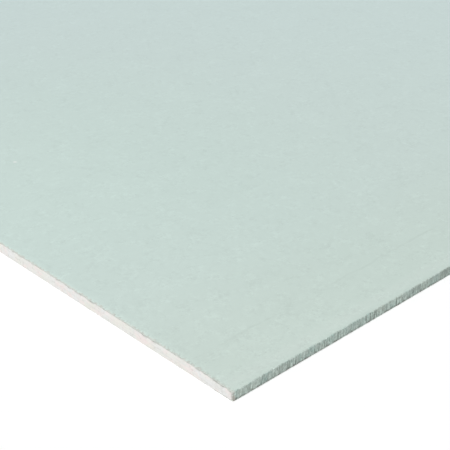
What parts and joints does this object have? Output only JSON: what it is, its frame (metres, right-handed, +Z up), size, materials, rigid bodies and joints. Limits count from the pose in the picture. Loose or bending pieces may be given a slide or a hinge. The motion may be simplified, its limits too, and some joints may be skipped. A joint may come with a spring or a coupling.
{
  "type": "drywall sheet",
  "caption": "Flat moisture-resistant plasterboard sheet: gypsum core between a green face paper wrapped round tapered long edges and a back paper.",
  "frame": {"origin": "middle of the underside, on the floor that the sheet lies on", "axes": "+X along the sheet's length, +Y across its width, +Z up out of the green face"},
  "size_m": [2.4, 1.2, 0.0125],
  "materials": {
    "gypsum": "matt, finely pitted where it is cut",
    "green_face_paper": "matt calendered paper, faintly mottled",
    "grey_back_paper": "matt recycled paper"
  },
  "bodies": {
    "root": {"gypsum_core": "gypsum", "face_paper": "green_face_paper", "back_paper": "grey_back_paper"}
  },
  "joints": []
}
